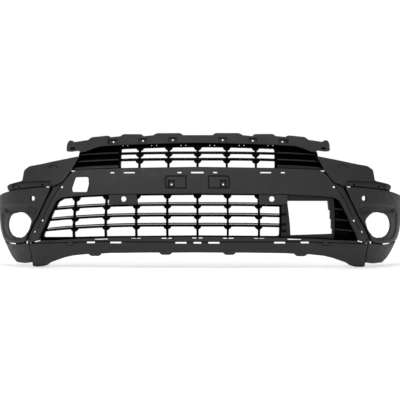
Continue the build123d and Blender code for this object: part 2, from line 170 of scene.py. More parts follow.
# ---- outlines ---------------------------------------------------------------------------------
def rounded(points, radii=2.0, steps=5):
    """Closed outline with a curve at each corner."""
    count = len(points)
    radii = [radii] * count if isinstance(radii, (int, float)) else list(radii)
    result = []
    for i, corner in enumerate(points):
        here = np.array(corner, float)
        back = np.array(points[i - 1], float) - here
        ahead = np.array(points[(i + 1) % count], float) - here
        room_back, room_ahead = np.linalg.norm(back), np.linalg.norm(ahead)
        back, ahead = back / room_back, ahead / room_ahead
        angle = math.acos(max(-1, min(1, float(back @ ahead))))
        reach = min(radii[i] / math.tan(angle / 2), 0.45 * room_back, 0.45 * room_ahead)
        if reach < 0.05 or angle > math.radians(177):
            result.append(tuple(here))
            continue
        for k in range(steps + 1):
            t = k / steps
            result.append(tuple(here + back * reach * (1 - t) ** 2 + ahead * reach * t ** 2))
    return result


def both_sides(points):
    """Front-view outline drawn for the right half, from the middle to the middle, and mirrored."""
    return list(points) + [(-x, z) for x, z in reversed(points) if x]


def other_side(points):
    """The outline on the other side of the middle."""
    return [(-x, z) for x, z in points]


def disc(x, z, radius, count=24):
    """Round outline."""
    turns = [math.tau * k / count for k in range(count)]
    return [(x + radius * math.cos(turn), z + radius * math.sin(turn)) for turn in turns]


def slot_loop(x, z, length, height):
    """Slot with round ends."""
    return rounded([(x - length / 2, z - height / 2), (x + length / 2, z - height / 2),
                    (x + length / 2, z + height / 2), (x - length / 2, z + height / 2)], height * 0.48)


def turned(points):
    """The outline, running anticlockwise."""
    p = np.array(points)
    area = np.sum(p[:, 0] * np.roll(p[:, 1], -1) - np.roll(p[:, 0], -1) * p[:, 1])
    return list(points) if area > 0 else list(reversed(points))


def divided(points, spacing):
    """The outline with extra points, so that no edge is longer than the spacing."""
    result = []
    for a, b in zip(points, list(points[1:]) + [points[0]]):
        pieces = max(1, math.ceil(math.dist(a, b) / spacing))
        for k in range(pieces):
            result.append((a[0] + (b[0] - a[0]) * k / pieces, a[1] + (b[1] - a[1]) * k / pieces))
    return result


def shifted(points, distance):
    """The anticlockwise outline moved inwards by a distance, or outwards by a negative one."""
    p = np.array(points, float)
    ahead = np.roll(p, -1, axis=0) - p
    ahead /= np.maximum(np.linalg.norm(ahead, axis=1, keepdims=True), 1e-9)
    back = np.roll(ahead, 1, axis=0)
    normal = np.stack([-(ahead[:, 1] + back[:, 1]), ahead[:, 0] + back[:, 0]], axis=1)
    normal /= np.maximum(np.linalg.norm(normal, axis=1, keepdims=True), 1e-9)
    cosine = np.maximum(normal[:, 0] * -ahead[:, 1] + normal[:, 1] * ahead[:, 0], 0.5)
    return p + normal * (distance / cosine)[:, None]


def segment_distance(spots, loop):
    """Distance from each spot to the closed loop."""
    a = np.array(loop, float)
    b = np.roll(a, -1, axis=0)
    best = np.full(len(spots), 1e9)
    for p, q in zip(a, b):
        edge = q - p
        t = np.clip((spots - p) @ edge / max(edge @ edge, 1e-9), 0, 1)
        best = np.minimum(best, np.linalg.norm(spots - p - t[:, None] * edge, axis=1))
    return best


def within(spots, loop):
    """True for each spot that lies inside the closed loop."""
    a = np.array(loop, float)
    b = np.roll(a, -1, axis=0)
    inside = np.zeros(len(spots), bool)
    for p, q in zip(a, b):
        if p[1] == q[1]:
            continue
        crosses = (p[1] > spots[:, 1]) != (q[1] > spots[:, 1])
        inside ^= crosses & (spots[:, 0] < (q[0] - p[0]) * (spots[:, 1] - p[1]) / (q[1] - p[1]) + p[0])
    return inside


# ---- moulded panels ------------------------------------------------------------------------------
class Sunk:
    """Area sunk into a panel by a depth, or raised by a negative one, with a soft edge."""

    def __init__(self, loop, depth, slope):
        self.loop = turned(loop)
        self.depth = depth
        self.slope = slope

    def inset(self, spots):
        side = np.where(within(spots, self.loop), 1.0, -1.0)
        t = np.clip(segment_distance(spots, self.loop) * side / self.slope, 0, 1)
        return self.depth * t * t * (3 - 2 * t)

    def guides(self):
        return [shifted(self.loop, self.slope * k / 3) for k in range(4)]


def clear_of(spots, outer, gaps, clearance):
    """True for each spot inside the outer loop and outside the gaps, by at least the clearance."""
    keep = within(spots, outer) & (segment_distance(spots, outer) > clearance)
    for gap in gaps:
        keep &= ~within(spots, gap) & (segment_distance(spots, gap) > clearance)
    return keep


def add_guides(spots, edges, features, outer, gaps, spacing):
    """Adds the guide lines of the sunk areas to a panel's points and fixed edges."""
    least_clearance = 0.8
    for guide in [g for f in features for g in f.guides()]:
        guide = np.array(divided([tuple(p) for p in guide], spacing))
        keep = clear_of(guide, outer, gaps, least_clearance)
        number = {}
        for i in np.flatnonzero(keep):
            number[i] = len(spots)
            spots.append(guide[i])
        count = len(guide)
        edges += [(number[i], number[(i + 1) % count]) for i in number if (i + 1) % count in number]


def net_points(outer, gaps, placed, spacing):
    """Staggered net over a panel, clear of its edges and of the points placed before."""
    block_size = 400
    low, high = outer.min(axis=0), outer.max(axis=0)
    columns = np.arange(low[0], high[0], spacing)
    rows = np.arange(low[1], high[1], spacing * 0.87)
    net = np.array([(x + (spacing / 2 if k % 2 else 0), z) for k, z in enumerate(rows) for x in columns])
    net = net[clear_of(net, outer, gaps, spacing * 0.45)]
    found = []
    for start in range(0, len(net), block_size):
        block = net[start:start + block_size]
        near = np.min(np.linalg.norm(block[:, None] - placed[None], axis=2), axis=1)
        found += list(block[near > spacing * 0.4])
    return found


def edge_profile(depth):
    """Steps (short of the edge, down) that round an edge over and then return by the depth."""
    steps = []
    for k in range(1, EDGE_STEPS + 1):
        turn = math.radians(90) * k / EDGE_STEPS
        steps.append((EDGE_RADIUS * (1 - math.sin(turn)), EDGE_RADIUS * (1 - math.cos(turn))))
    if depth:
        steps.append((0.0, depth))
    return steps


def roll_edge(points, faces, ring, border, side, base, depth):
    """Adds the rounded edge and the flange along one border, from the ring just inside it."""
    count = len(border)
    for back, down in edge_profile(depth):
        where = shifted(border, side * back)
        fresh = list(range(len(points), len(points) + count))
        if side < 0 and down == depth:
            points += list(straight_back(where, base + EDGE_RADIUS, depth - EDGE_RADIUS))
        else:
            points += list(surface(where[:, 0], where[:, 1], base + down))
        for i in range(count):
            j = (i + 1) % count
            if ring[i] is None or ring[j] is None:
                continue
            quad = (ring[i], fresh[i], fresh[j], ring[j])
            faces.append(quad if side > 0 else quad[::-1])
        ring = fresh


def panel_mesh(loop, holes=(), features=(), inset=0.0, flange=FLANGE, hole_flange=0.0,
               spacing=NET_SPACING):
    """Vertices and faces of a moulded skin: a fine net on the surface with rolled edges.

    The loop and the holes are in (distance round the nose, height). Every edge is rounded
    over, the outer one returns as a flange, and the wall of a hole runs straight back."""
    borders = [(np.array(divided(turned(loop), spacing)), 1, flange)]
    for hole in holes:
        borders.append((np.array(divided(turned(hole), spacing * 0.6)), -1, hole_flange))
    spots, edges, firsts = [], [], []
    for border, side, _ in borders:
        first = len(spots)
        firsts.append(first)
        spots += list(shifted(border, side * EDGE_RADIUS))
        edges += [(first + i, first + (i + 1) % len(border)) for i in range(len(border))]
    loops = [np.array(spots[first:first + len(border)]) for first, (border, _, _) in zip(firsts, borders)]
    outer, gaps = loops[0], loops[1:]
    add_guides(spots, edges, features, outer, gaps, spacing * 0.7)
    spots += net_points(outer, gaps, np.array(spots), spacing)
    found, _, triangles, *_ = delaunay_2d_cdt([Vector(p) for p in spots], edges, [], 0, 1e-4)
    flat_points = np.array([tuple(p) for p in found])
    middles = np.array([flat_points[list(t)].mean(axis=0) for t in triangles])
    keep = within(middles, outer)
    for gap in gaps:
        keep &= ~within(middles, gap)
    faces = [tuple(t) for t, k in zip(triangles, keep) if k]

    def depth_at(where):
        return inset + sum((f.inset(where) for f in features), np.zeros(len(where)))

    points = list(surface(flat_points[:, 0], flat_points[:, 1], depth_at(flat_points)))
    lookup = {(round(p[0], 2), round(p[1], 2)): i for i, p in enumerate(flat_points)}
    for first, (border, side, depth) in zip(firsts, borders):
        ring = [lookup.get((round(spots[first + i][0], 2), round(spots[first + i][1], 2)))
                for i in range(len(border))]
        roll_edge(points, faces, ring, border, side, depth_at(border), depth)
    return points, faces


def bar_mesh(spots, section):
    """Closed bar along (distance round the nose, height) spots; the section is (inset, rise)."""
    points, faces = [], []
    count = len(section)
    for s, z in spots:
        for inset, rise in section:
            points.append(tuple(surface(s, z + rise, inset)))
    for i in range(len(spots) - 1):
        for k in range(count):
            a, b = i * count + k, i * count + (k + 1) % count
            faces.append((a, b, b + count, a + count))
    faces.append(tuple(range(count)))
    faces.append(tuple(reversed(range(len(points) - count, len(points)))))
    return points, faces


def plate_mesh(loop, near, far):
    """Closed plate between two insets, with a rounded front edge."""
    border = np.array(divided(turned(loop), 12.0))
    count = len(border)
    front = shifted(border, EDGE_RADIUS)
    edges = [(i, (i + 1) % count) for i in range(count)]
    found, _, triangles, *_ = delaunay_2d_cdt([Vector(p) for p in front], edges, [], 1, 1e-4)
    if len(found) != count:
        return None
    points = list(surface(front[:, 0], front[:, 1], near))
    faces = [tuple(t) for t in triangles]
    ring = list(range(count))
    chamfer = EDGE_RADIUS * 0.3
    for back, depth in ((chamfer, near + chamfer), (0.0, near + EDGE_RADIUS), (0.0, far)):
        where = shifted(border, back)
        fresh = list(range(len(points), len(points) + count))
        points += list(straight_back(where, near, depth - near))
        faces += [(ring[i], fresh[i], fresh[(i + 1) % count], ring[(i + 1) % count]) for i in range(count)]
        ring = fresh
    faces += [tuple(ring[i] for i in reversed(t)) for t in triangles]
    return points, faces


def joined(meshes):
    """Several vertex and face lists as one."""
    points, faces = [], []
    for some_points, some_faces in meshes:
        first = len(points)
        points += [tuple(p) for p in some_points]
        faces += [tuple(first + i for i in face) for face in some_faces]
    return points, faces


def make_object(name, points, faces, material, thickness=WALL):
    """Object from vertices and faces, with a wall thickness unless it is closed already."""
    mesh = bpy.data.meshes.new(name)
    mesh.from_pydata([tuple(p) for p in points], [], faces)
    mesh.validate()
    work = bmesh.new()
    work.from_mesh(mesh)
    bmesh.ops.remove_doubles(work, verts=work.verts, dist=2e-5)
    bmesh.ops.delete(work, geom=[v for v in work.verts if not v.link_faces], context="VERTS")
    bmesh.ops.recalc_face_normals(work, faces=work.faces)
    work.to_mesh(mesh)
    work.free()
    mesh.shade_smooth()
    mesh.set_sharp_from_angle(angle=math.radians(SMOOTH_ANGLE))
    mesh.materials.append(material)
    piece = bpy.data.objects.new(name, mesh)
    bpy.context.scene.collection.objects.link(piece)
    if thickness:
        shell = piece.modifiers.new("wall", "SOLIDIFY")
        shell.thickness = thickness * MM
        shell.offset = -1
    return piece


def polish_tops_with_painted_highlight(piece):
    """The upward faces of the slats are smooth and glossy and take a lighter colour as a painted highlight;
    the rest is grained.
    """
    upward = 0.9
    piece.data.materials.append(POLISHED_PAINTED_HIGHLIGHT)
    for face in piece.data.polygons:
        # Upward faces take the lighter slat-top colour, a painted highlight.
        if face.normal.z > upward:
            face.material_index = 1


def fit(piece, node):
    """The piece rides on the cover and stands in for a CAD node."""
    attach(piece, "cover")
    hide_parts(node)


# ---- materials ------------------------------------------------------------------------------
def new_material(name):
    """Node material with its shader and texture coordinates."""
    material = bpy.data.materials.new(name)
    material.use_nodes = True
    nodes = material.node_tree.nodes
    shader = nodes["Principled BSDF"]
    coords = nodes.new("ShaderNodeTexCoord")
    return material, nodes, material.node_tree.links, shader, coords


def noise(nodes, links, coords, scale, detail):
    """Noise texture in object space."""
    texture = nodes.new("ShaderNodeTexNoise")
    texture.inputs["Scale"].default_value = scale
    texture.inputs["Detail"].default_value = detail
    links.new(coords.outputs["Object"], texture.inputs["Vector"])
    return texture


def ramp(nodes, links, source, low, high, start=0.35, end=0.65):
    """Colour or value that runs from low to high with the source."""
    blend = nodes.new("ShaderNodeValToRGB")
    blend.color_ramp.elements[0].position = start
    blend.color_ramp.elements[0].color = (*low, 1)
    blend.color_ramp.elements[1].position = end
    blend.color_ramp.elements[1].color = (*high, 1)
    links.new(source, blend.inputs["Fac"])
    return blend.outputs["Color"]


def moulded_plastic(name, colour, roughness, grain_mm, grain_depth, gloss=0.5, reach=0.014):
    """Injection-moulded plastic: a fine grain, faint flow clouds and uneven gloss.

    Painted shade darkens the colour and dims the gloss in crevices as wide as the reach, in metres."""
    material, nodes, links, shader, coords = new_material(name)
    clouds = noise(nodes, links, coords, 9.0, 4.0)
    darker = [c * 0.88 for c in colour]
    lighter = [c * 1.12 for c in colour]
    # Ambient occlusion darkens the colour and dims the gloss in crevices and creases: painted shade.
    painted_crevice_shade = nodes.new("ShaderNodeAmbientOcclusion")
    painted_crevice_shade.inputs["Distance"].default_value = reach
    painted_crevice_shade.samples = 8
    links.new(ramp(nodes, links, clouds.outputs["Fac"], darker, lighter), painted_crevice_shade.inputs["Color"])
    links.new(painted_crevice_shade.outputs["Color"], shader.inputs["Base Color"])
    shade_dimmed_gloss = nodes.new("ShaderNodeMath")
    shade_dimmed_gloss.operation = "MULTIPLY"
    shade_dimmed_gloss.inputs[1].default_value = gloss
    links.new(painted_crevice_shade.outputs["AO"], shade_dimmed_gloss.inputs[0])
    links.new(shade_dimmed_gloss.outputs["Value"], shader.inputs["Specular IOR Level"])
    patches = noise(nodes, links, coords, 35.0, 3.0)
    low = [roughness - 0.04] * 3
    high = [roughness + 0.06] * 3
    links.new(ramp(nodes, links, patches.outputs["Fac"], low, high), shader.inputs["Roughness"])
    grain = nodes.new("ShaderNodeTexVoronoi")
    grain.inputs["Scale"].default_value = 1000.0 / grain_mm
    links.new(coords.outputs["Object"], grain.inputs["Vector"])
    bump = nodes.new("ShaderNodeBump")
    bump.inputs["Strength"].default_value = 0.3
    bump.inputs["Distance"].default_value = grain_depth
    links.new(grain.outputs["Distance"], bump.inputs["Height"])
    links.new(bump.outputs["Normal"], shader.inputs["Normal"])
    return material


COVER = moulded_plastic("cover_plastic", (0.014, 0.014, 0.0145), 0.58, 1.1, 0.00006, 0.30)
GRILLE = moulded_plastic("grille_plastic", (0.0008, 0.0008, 0.0009), 0.34, 0.8, 0.00002, 0.02)
# POLISHED_PAINTED_HIGHLIGHT is for the tops of the slats: glossier, and lighter in colour than the rest of
# the grille as a painted highlight on the upward faces. BLIND is for the closed sections and the sensor
# window.
POLISHED_PAINTED_HIGHLIGHT = moulded_plastic("grille_plastic_polished_painted_highlight", (0.010, 0.010, 0.0105), 0.12, 0.8, 0.00001,
                           1.0, 0.004)
BLIND = moulded_plastic("grille_plastic_blind", (0.006, 0.006, 0.0063), 0.38, 0.8, 0.00002,
                        0.22, 0.009)
BRACKET = moulded_plastic("bracket_plastic", (0.003, 0.003, 0.0033), 0.55, 1.5, 0.00005, 0.1)
CLIP = moulded_plastic("clip_plastic", (0.008, 0.008, 0.0085), 0.42, 0.6, 0.00003, 0.4)
FINISH = {"cover_plastic": COVER, "grille_plastic": GRILLE, "bracket_plastic": BRACKET,
          "clip_plastic": CLIP}

SLOT_OF = {row["node"]: row["material_slot"] for row in frame["record"]["subparts"]}
for name, slot in SLOT_OF.items():
    node = bpy.data.objects[name]
    node.data.materials.clear()
    node.data.materials.append(FINISH[slot])


def cover_panel(node, loop, holes=(), features=()):
    """Refined panel of the cover that stands in for a CAD node."""
    piece = make_object(node + "_skin", *panel_mesh(loop, holes, features), COVER)
    fit(piece, node)


def cover_pair(name, loop, holes=(), features=()):
    """The same panel on the right and mirrored on the left."""
    cover_panel(name + "_right", loop, holes, features)
    mirrored_features = [Sunk(other_side(f.loop), f.depth, f.slope) for f in features]
    cover_panel(name + "_left", other_side(loop), [other_side(h) for h in holes], mirrored_features)


def sensor_ring(x, z):
    """Shallow sunk ring round a sensor hole."""
    radius, depth, slope = SENSOR_RECESS
    return Sunk(flat(disc(x, z, radius)), depth, slope)


# ---- centre band with the two pillars ---------------------------------------------------------
BAND = both_sides([
    (0, 415), (323, 410), (481, 405), (510, 398), (521, 390), (553, 354), (596, 334), (628, 277),
    (660, 215), (698, 152), (716, 118), (712, 102), (667, 113), (662, 117), (652, 143), (634, 174),
    (617, 211), (601, 242), (582, 277), (560, 291), (500, 297), (367, 304), (0, 308)])
TOW_HOLE = rounded([(-499, 374), (-447, 375), (-445, 346), (-453, 314), (-513, 314), (-514, 330)], 8)


def plate_pad(side):
    """Sunk groove round one pad of the number-plate area, and its square screw pocket."""
    pad = [(43, 327), (131, 327), (133, 368), (124, 381), (43, 381)]
    inner = [(47, 331), (126, 331), (128, 366), (121, 376), (47, 376)]
    pocket = [(91, 333), (120, 333), (120, 363), (91, 363)]
    loops = [rounded([(x * side, z) for x, z in turned(points)], 3) for points in (pad, inner, pocket)]
    return [Sunk(flat(loops[0]), 5.0, 1.2), Sunk(flat(loops[1]), -3.8, 1.2), Sunk(flat(loops[2]), 9.0, 1.6)]


def pillar_grooves(side):
    """Long step down the pillar, beside the bezel, and a fine groove along its middle."""
    step = [(560, 352), (600, 337), (634, 277), (666, 215), (704, 152), (722, 118), (700, 112),
            (686, 145), (650, 208), (617, 272), (590, 322)]
    groove = [(545, 362), (553, 359), (603, 285), (636, 220), (668, 160), (664, 158), (631, 218),
              (598, 283)]
    return [Sunk(flat([(x * side, z) for x, z in step]), 5.0, 2.5),
            Sunk(flat([(x * side, z) for x, z in groove]), 2.8, 1.6)]


def centre_band():
    """Band with its slots, plate pads and pillar steps."""
    holes = [flat(TOW_HOLE)]
    for x, length, height in ((0, 52, 6), (72, 16, 5), (-72, 16, 5), (347, 16, 5), (-347, 16, 5),
                              (277, 45, 5), (-277, 45, 5)):
        holes.append(flat(slot_loop(x, 392, length, height)))
    for x, z, radius in ((105, 344, BOLT_RADIUS), (557, 334, CLIP_RADIUS), (643, 196, CLIP_RADIUS),
                         (680, 150, CLIP_RADIUS)):
        holes += [flat(disc(x, z, radius)), flat(disc(-x, z, radius))]
    features = plate_pad(1) + plate_pad(-1) + pillar_grooves(1) + pillar_grooves(-1)
    tow_rim = shifted(turned(flat(TOW_HOLE)), -9)
    features.append(Sunk([tuple(p) for p in tow_rim], 2.0, 6.0))
    cover_panel("centre_band", flat(BAND), holes, features)


# ---- wings under the headlamps ----------------------------------------------------------------
def wings():
    """Wing with its sunk lower ledge and a shallow embossed arc."""
    loop = rounded([(488, 462), (568, 447), (654, 430), (706, 422), (729, 406), (736, 363), (747, 359),
                    (805, 348), (819, 339), (811, 322), (739, 330), (652, 337), (601, 336), (558, 354),
                    (541, 373), (517, 408)],
                   [3, 3, 3, 14, 14, 6, 6, 6, 6, 3, 3, 3, 3, 3, 3, 3])
    ledge = [(612, 361), (735, 358), (747, 356), (792, 347), (796, 316), (739, 320), (652, 328),
             (594, 330)]
    arc = [(575, 414), (583, 424), (596, 429), (612, 424), (620, 412), (617, 410), (609, 419),
           (596, 424), (585, 420), (579, 412)]
    cover_pair("wing", flat(loop), [flat(disc(x, z, CLIP_RADIUS)) for x, z in ((648, 345), (762, 337))],
               [Sunk(flat(ledge), 9.0, 4.0), Sunk(flat(arc), 2.5, 2.0)])


# ---- bezels round the fog lamp openings -------------------------------------------------------
ARCH = [(600, 288), (576, 232), (549, 186), (521, 147), (500, 117), (492, 102)]


def fog_bezels():
    """Bezel with its brow, the scoop below it and the rim round the lamp opening."""
    front = [(606, 333), (652, 333), (739, 326), (811, 317), (860, 306), (900, 297)]
    foot = [(862, 105), (828, 97), (782, 97), (735, 103), (723, 115), (704, 152), (665, 215), (633, 277)]
    loop = rounded(flat(front) + beside(ARCH) + flat(foot), 5)
    lamp = [(766, 230), (740, 229), (721, 220), (706, 205), (698, 187), (704, 164), (715, 146),
            (735, 130), (758, 122), (784, 123), (806, 131), (820, 148), (826, 171), (820, 194),
            (808, 213), (789, 225)]
    scoop = [(652, 250), (690, 262), (786, 263), (836, 256), (856, 230), (856, 150), (842, 118),
             (820, 107), (750, 107), (728, 124), (708, 160), (680, 205)]
    brow = [(664, 246), (690, 257), (786, 258), (836, 250), (848, 238), (838, 224), (700, 222),
            (682, 216), (672, 228)]
    lamp_loop = rounded(flat(lamp), 30)
    rim = [tuple(p) for p in shifted(turned(lamp_loop), -8)]
    cover_pair("fog_bezel", loop, [lamp_loop, flat(disc(*SENSOR_SPOT, SENSOR_RADIUS))],
               [Sunk(rounded(flat(scoop), 14), 8.0, 14.0), Sunk(flat(brow), 7.0, 11.0),
                Sunk(rim, 3.0, 5.0), sensor_ring(*SENSOR_SPOT)])


# ---- lower valance ------------------------------------------------------------------------------
RETAINER_SPOT = (524, 105)
RETAINER_HOLE = 5.0              # radius


def valance():
    """Valance with its crease, slots and undertray lobes."""
    lower_right = [(708, 98), (703, 60), (702, 2), (687, 0), (662, 2), (639, 8), (621, 20), (593, 30),
                   (558, 42), (519, 51), (464, 57), (450, 58), (445, 53), (437, 50), (411, 50),
                   (403, 54), (399, 60), (359, 63), (193, 66), (156, 66), (151, 60), (143, 57),
                   (117, 57), (109, 60), (104, 66), (0, 67)]
    loop = both_sides([(0, 132), (245, 129), (369, 126), (498, 121), (566, 116), (654, 112)] + lower_right)
    holes = []
    for x, z, length, height in ((0, 107, 32, 6), (67, 107, 46, 6), (335, 107, 46, 6), (439, 107, 34, 6),
                                 (0, 126, 42, 5), (126, 126, 42, 5), (253, 125, 42, 5),
                                 (398, 121, 60, 5)):
        holes.append(flat(slot_loop(x, z, length, height)))
        if x:
            holes.append(flat(slot_loop(-x, z, length, height)))
    holes += [flat(disc(x, RETAINER_SPOT[1], RETAINER_HOLE))
              for x in (-RETAINER_SPOT[0], RETAINER_SPOT[0])]
    crease = both_sides([(0, 150), (720, 150), (720, 92), (660, 100), (566, 105), (545, 101), (541, 92),
                         (509, 92), (505, 101), (480, 107), (369, 109), (0, 109)])
    line = both_sides([(0, 112), (369, 112), (480, 110), (700, 101), (700, 97), (480, 106), (369, 108),
                       (0, 108)])
    cover_panel("lower_valance", flat(loop), holes,
                [Sunk(flat(crease), 2.4, 1.8), Sunk(flat(line), 4.0, 1.8)])


def valance_corners():
    """End piece of the valance, up to the wheel arch."""
    front = [(711, 99), (735, 98), (782, 91), (828, 91), (862, 100)]
    arch = [(489, 99), (485, 84), (440, 62), (370, 32), (312, 12)]
    foot = [(742, 12), (730, 14), (705, 18), (706, 60)]
    cover_pair("valance_corner", rounded(flat(front) + beside(arch) + flat(foot), 4))


# ---- top rail ----------------------------------------------------------------------------------
RAIL_BOLTS = ((103, 528), (227, 525), (350, 521))


def top_rail():
    """Rail with its bolt pockets, notches and hooked ends."""
    loop = both_sides([
        (0, 549), (61, 549), (67, 554), (74, 558), (168, 558), (176, 555), (186, 549), (226, 545),
        (231, 551), (237, 554), (308, 555), (316, 551), (322, 546), (366, 542), (371, 547), (378, 549),
        (442, 543), (450, 538), (458, 531), (519, 522), (527, 529), (534, 530), (541, 526), (546, 514),
        (546, 488), (541, 482), (527, 481), (494, 485), (486, 478), (466, 480), (436, 493),
        (403, 503), (319, 508), (121, 514), (0, 516)])
    holes, features = [], []
    for bolt, z in RAIL_BOLTS:
        for x in (-bolt, bolt):
            holes.append(flat(disc(x, z, BOLT_RADIUS)))
            pocket = rounded([(x - 18, z - 11), (x + 18, z - 11), (x + 18, z + 11), (x - 18, z + 11)], 4)
            features.append(Sunk(flat(pocket), 5.0, 1.0))
    for side in (-1, 1):
        features.append(Sunk(flat(slot_loop(519 * side, 494, 22, 11)), 9.0, 2.0))
        notch = [(368 * side, 560), (374 * side, 560), (374 * side, 512), (368 * side, 512)]
        features.append(Sunk(flat(turned(notch)), 3.5, 1.5))
    cover_panel("top_rail", flat(loop), holes, features)


# ---- grilles -----------------------------------------------------------------------------------
DROOP = 24.0             # how far the slats bow down at DROOP_REACH from the middle
DROOP_REACH = 650.0
LOWER_SLATS = (261, 218, 177)
UPPER_SLATS = (473, 446)
SLAT_RISE = 0.14
UPPER_RISE = 0.06
SLAT_PITCH = 14.0        # length of the straight stretches of a slat
RIB_HALF = 4.6           # half the width of an upright
RIB_SETBACK = 1.5        # uprights start this far behind the front of the bars
GUSSET_SETBACK = 0.8
GRILLE_WALL = 2.5        # wall thickness of the frames
WALL_REACH = 16.0        # how far the back wall of a blind section runs out behind the cover


def slat_level(x, height):
    """Height of the front edge of a slat at x."""
    return height - DROOP * (abs(x) / DROOP_REACH) ** 3


def slat(height, first, last, rise, thick=9.0):
    """Slat with a round nose, a flat top that climbs to the back and a thin tail."""
    depth = GRILLE_FAR - GRILLE_NEAR
    half = thick / 2
    climb = rise * depth
    section = [(GRILLE_NEAR, 0), (GRILLE_NEAR + 0.4, half * 0.6), (GRILLE_NEAR + 1.6, half),
               (GRILLE_FAR - 2, half + climb), (GRILLE_FAR - 1.8, half + climb + 2.2),
               (GRILLE_FAR, half + climb + 2.2), (GRILLE_FAR, half + climb - 2.4),
               (GRILLE_NEAR + 1.6, -half), (GRILLE_NEAR + 0.4, -half * 0.6)]
    count = max(2, math.ceil(abs(last - first) / SLAT_PITCH))
    spots = []
    for k in range(count + 1):
        x = first + (last - first) * k / count
        z = slat_level(x, height)
        spots.append((along(x, z), z))
    return bar_mesh(spots, section)


def rib_loops(x, low, high, lean, heights):
    """Front outlines of an upright: the rib itself and a curved gusset under each slat."""
    loops = [[(x - RIB_HALF + lean, low), (x + RIB_HALF + lean, low), (x + RIB_HALF, high),
              (x - RIB_HALF, high)]]
    for height in heights:
        level = slat_level(x, height)
        at = x + lean * (high - level) / (high - low)
        curve = [(17.5, 0), (16, -5), (13, -10), (8.5, -14), (4.0, -16)]
        right = [(at + dx, level + dz) for dx, dz in curve]
        left = [(at - dx, level + dz) for dx, dz in reversed(curve)]
        loops.append(right + left)
    return loops


def grille(node, loop, opening, holes, slats, ribs, rise):
    """Frame, slats and ribs of an open grille."""
    meshes = [slat(height, first, last, rise) for height, first, last in slats]
    for x, low, high, lean, heights in ribs:
        for number, outline in enumerate(rib_loops(x, low, high, lean, heights)):
            near = GRILLE_NEAR + (RIB_SETBACK if number == 0 else GUSSET_SETBACK)
            plate = plate_mesh(flat(outline), near, GRILLE_FAR - 2)
            if plate:
                meshes.append(plate)
    bars = make_object(node + "_bars", *joined(meshes), GRILLE, 0)
    polish_tops_with_painted_highlight(bars)
    frame_mesh = panel_mesh(flat(loop), [flat(opening)] + holes, (), GRILLE_NEAR, 8.0, 28.0)
    edge = make_object(node + "_frame", *frame_mesh, GRILLE, GRILLE_WALL)
    for piece in (bars, edge):
        fit(piece, node)


def crossing(loop, z):
    """Lowest and highest x where a front-view outline crosses the height."""
    found = []
    for (ax, az), (bx, bz) in zip(loop, list(loop[1:]) + [loop[0]]):
        if (az > z) != (bz > z):
            found.append(ax + (bx - ax) * (z - az) / (bz - az))
    return min(found), max(found)


def lower_grille():
    """Open part of the lower grille."""
    loop = [(341, 308), (0, 311), (-367, 307), (-500, 300), (-563, 293), (-585, 279), (-604, 244),
            (-620, 213), (-637, 176), (-655, 145), (-668, 110), (-498, 112), (-369, 117), (0, 122),
            (341, 118)]
    opening = rounded([(335, 299), (0, 301), (-367, 297), (-500, 290), (-556, 285), (-577, 273),
                       (-596, 241), (-612, 209), (-629, 172), (-645, 142), (-650, 127), (-498, 129),
                       (-369, 133), (0, 137), (335, 134)], 8)
    holes = [flat(slot_loop(x, 126, 46, 7)) for x in (0, 126, 253, -126, -253)]
    holes.append(flat(slot_loop(-398, 121, 64, 7)))
    slats = []
    for height in LOWER_SLATS:
        left, _ = crossing(opening, slat_level(-580, height))
        slats.append((height, left - 5, 340))
    ribs = [(x, 124, 304, lean, LOWER_SLATS + (302,))
            for x, lean in ((0, 0), (123, 1), (250, 2), (-123, -1), (-250, -2), (-374, -6), (-502, -14))]
    grille("lower_grille", loop, opening, holes, slats, ribs, SLAT_RISE)


def upper_grille():
    """Open part of the upper grille."""
    loop = both_sides([(0, 520), (121, 518), (325, 511), (325, 405), (0, 409)])
    opening = rounded([(-317, 491), (-121, 497), (0, 498), (121, 497), (317, 491), (317, 412), (0, 416),
                       (-317, 412)], 6)
    holes = [flat(disc(x + dx, 506, 2.2)) for x in (-303, -182, -60, 60, 182, 303) for dx in (-10, 10)]
    slats = [(height, -323, 323) for height in UPPER_SLATS]
    ribs = [(x, 410, 505, 0, UPPER_SLATS + (500,)) for x in (-240, -120, 0, 120, 240)]
    grille("upper_grille", loop, opening, holes, slats, ribs, UPPER_RISE)


def louvre(node, loop, fins, rise, reach, mirror=False):
    """Blind grille: fins in front of a closed back wall, in a thin frame.

    The ends of the fins are found at the height that they have this far from the middle."""
    side = other_side if mirror else list
    inner_side = min(x for x, z in loop)
    meshes = []
    for height, thick in fins:
        left, right = crossing(loop, slat_level(reach, height))
        first, last = (-right + 2, -left - 2) if mirror else (left + 2, right - 2)
        meshes.append(slat(height, first, last, rise, thick))
    bars = make_object(node + "_fins", *joined(meshes), BLIND, 0)
    edge_loop = turned(flat(side(loop)))
    inner = [tuple(p) for p in shifted(edge_loop, 3.0)]
    edge_mesh = panel_mesh(edge_loop, [inner], (), GRILLE_NEAR, 30.0)
    edge = make_object(node + "_frame", *edge_mesh, GRILLE, 1.5)
    wide = [(x + WALL_REACH if x > inner_side + 1 else x, z) for x, z in loop]
    wall_mesh = panel_mesh(turned(flat(side(wide))), (), (), GRILLE_FAR - 3.5, 0.0, 0.0,
                           2 * NET_SPACING)
    wall = make_object(node + "_wall", *wall_mesh, GRILLE, GRILLE_WALL)
    for piece in (bars, edge, wall):
        fit(piece, node)


def louvres():
    """The three blind grille sections."""
    upper = [(325.4, 404), (325.4, 512), (403, 508), (440, 497), (470, 484), (489, 481), (492, 462),
             (523, 403), (481, 401), (400, 403)]
    upper_fins = ((479, 6), (450, 6), (421, 12))
    louvre("upper_louvre_right", upper, upper_fins, UPPER_RISE, 440)
    louvre("upper_louvre_left", upper, upper_fins, UPPER_RISE, 440, True)
    lower = [(562.4, 292), (588, 281), (608, 245), (624, 214), (641, 177), (659, 146), (672, 108),
             (562.4, 108)]
    louvre("lower_louvre", lower, [(h, 6) for h in LOWER_SLATS], SLAT_RISE, 600)


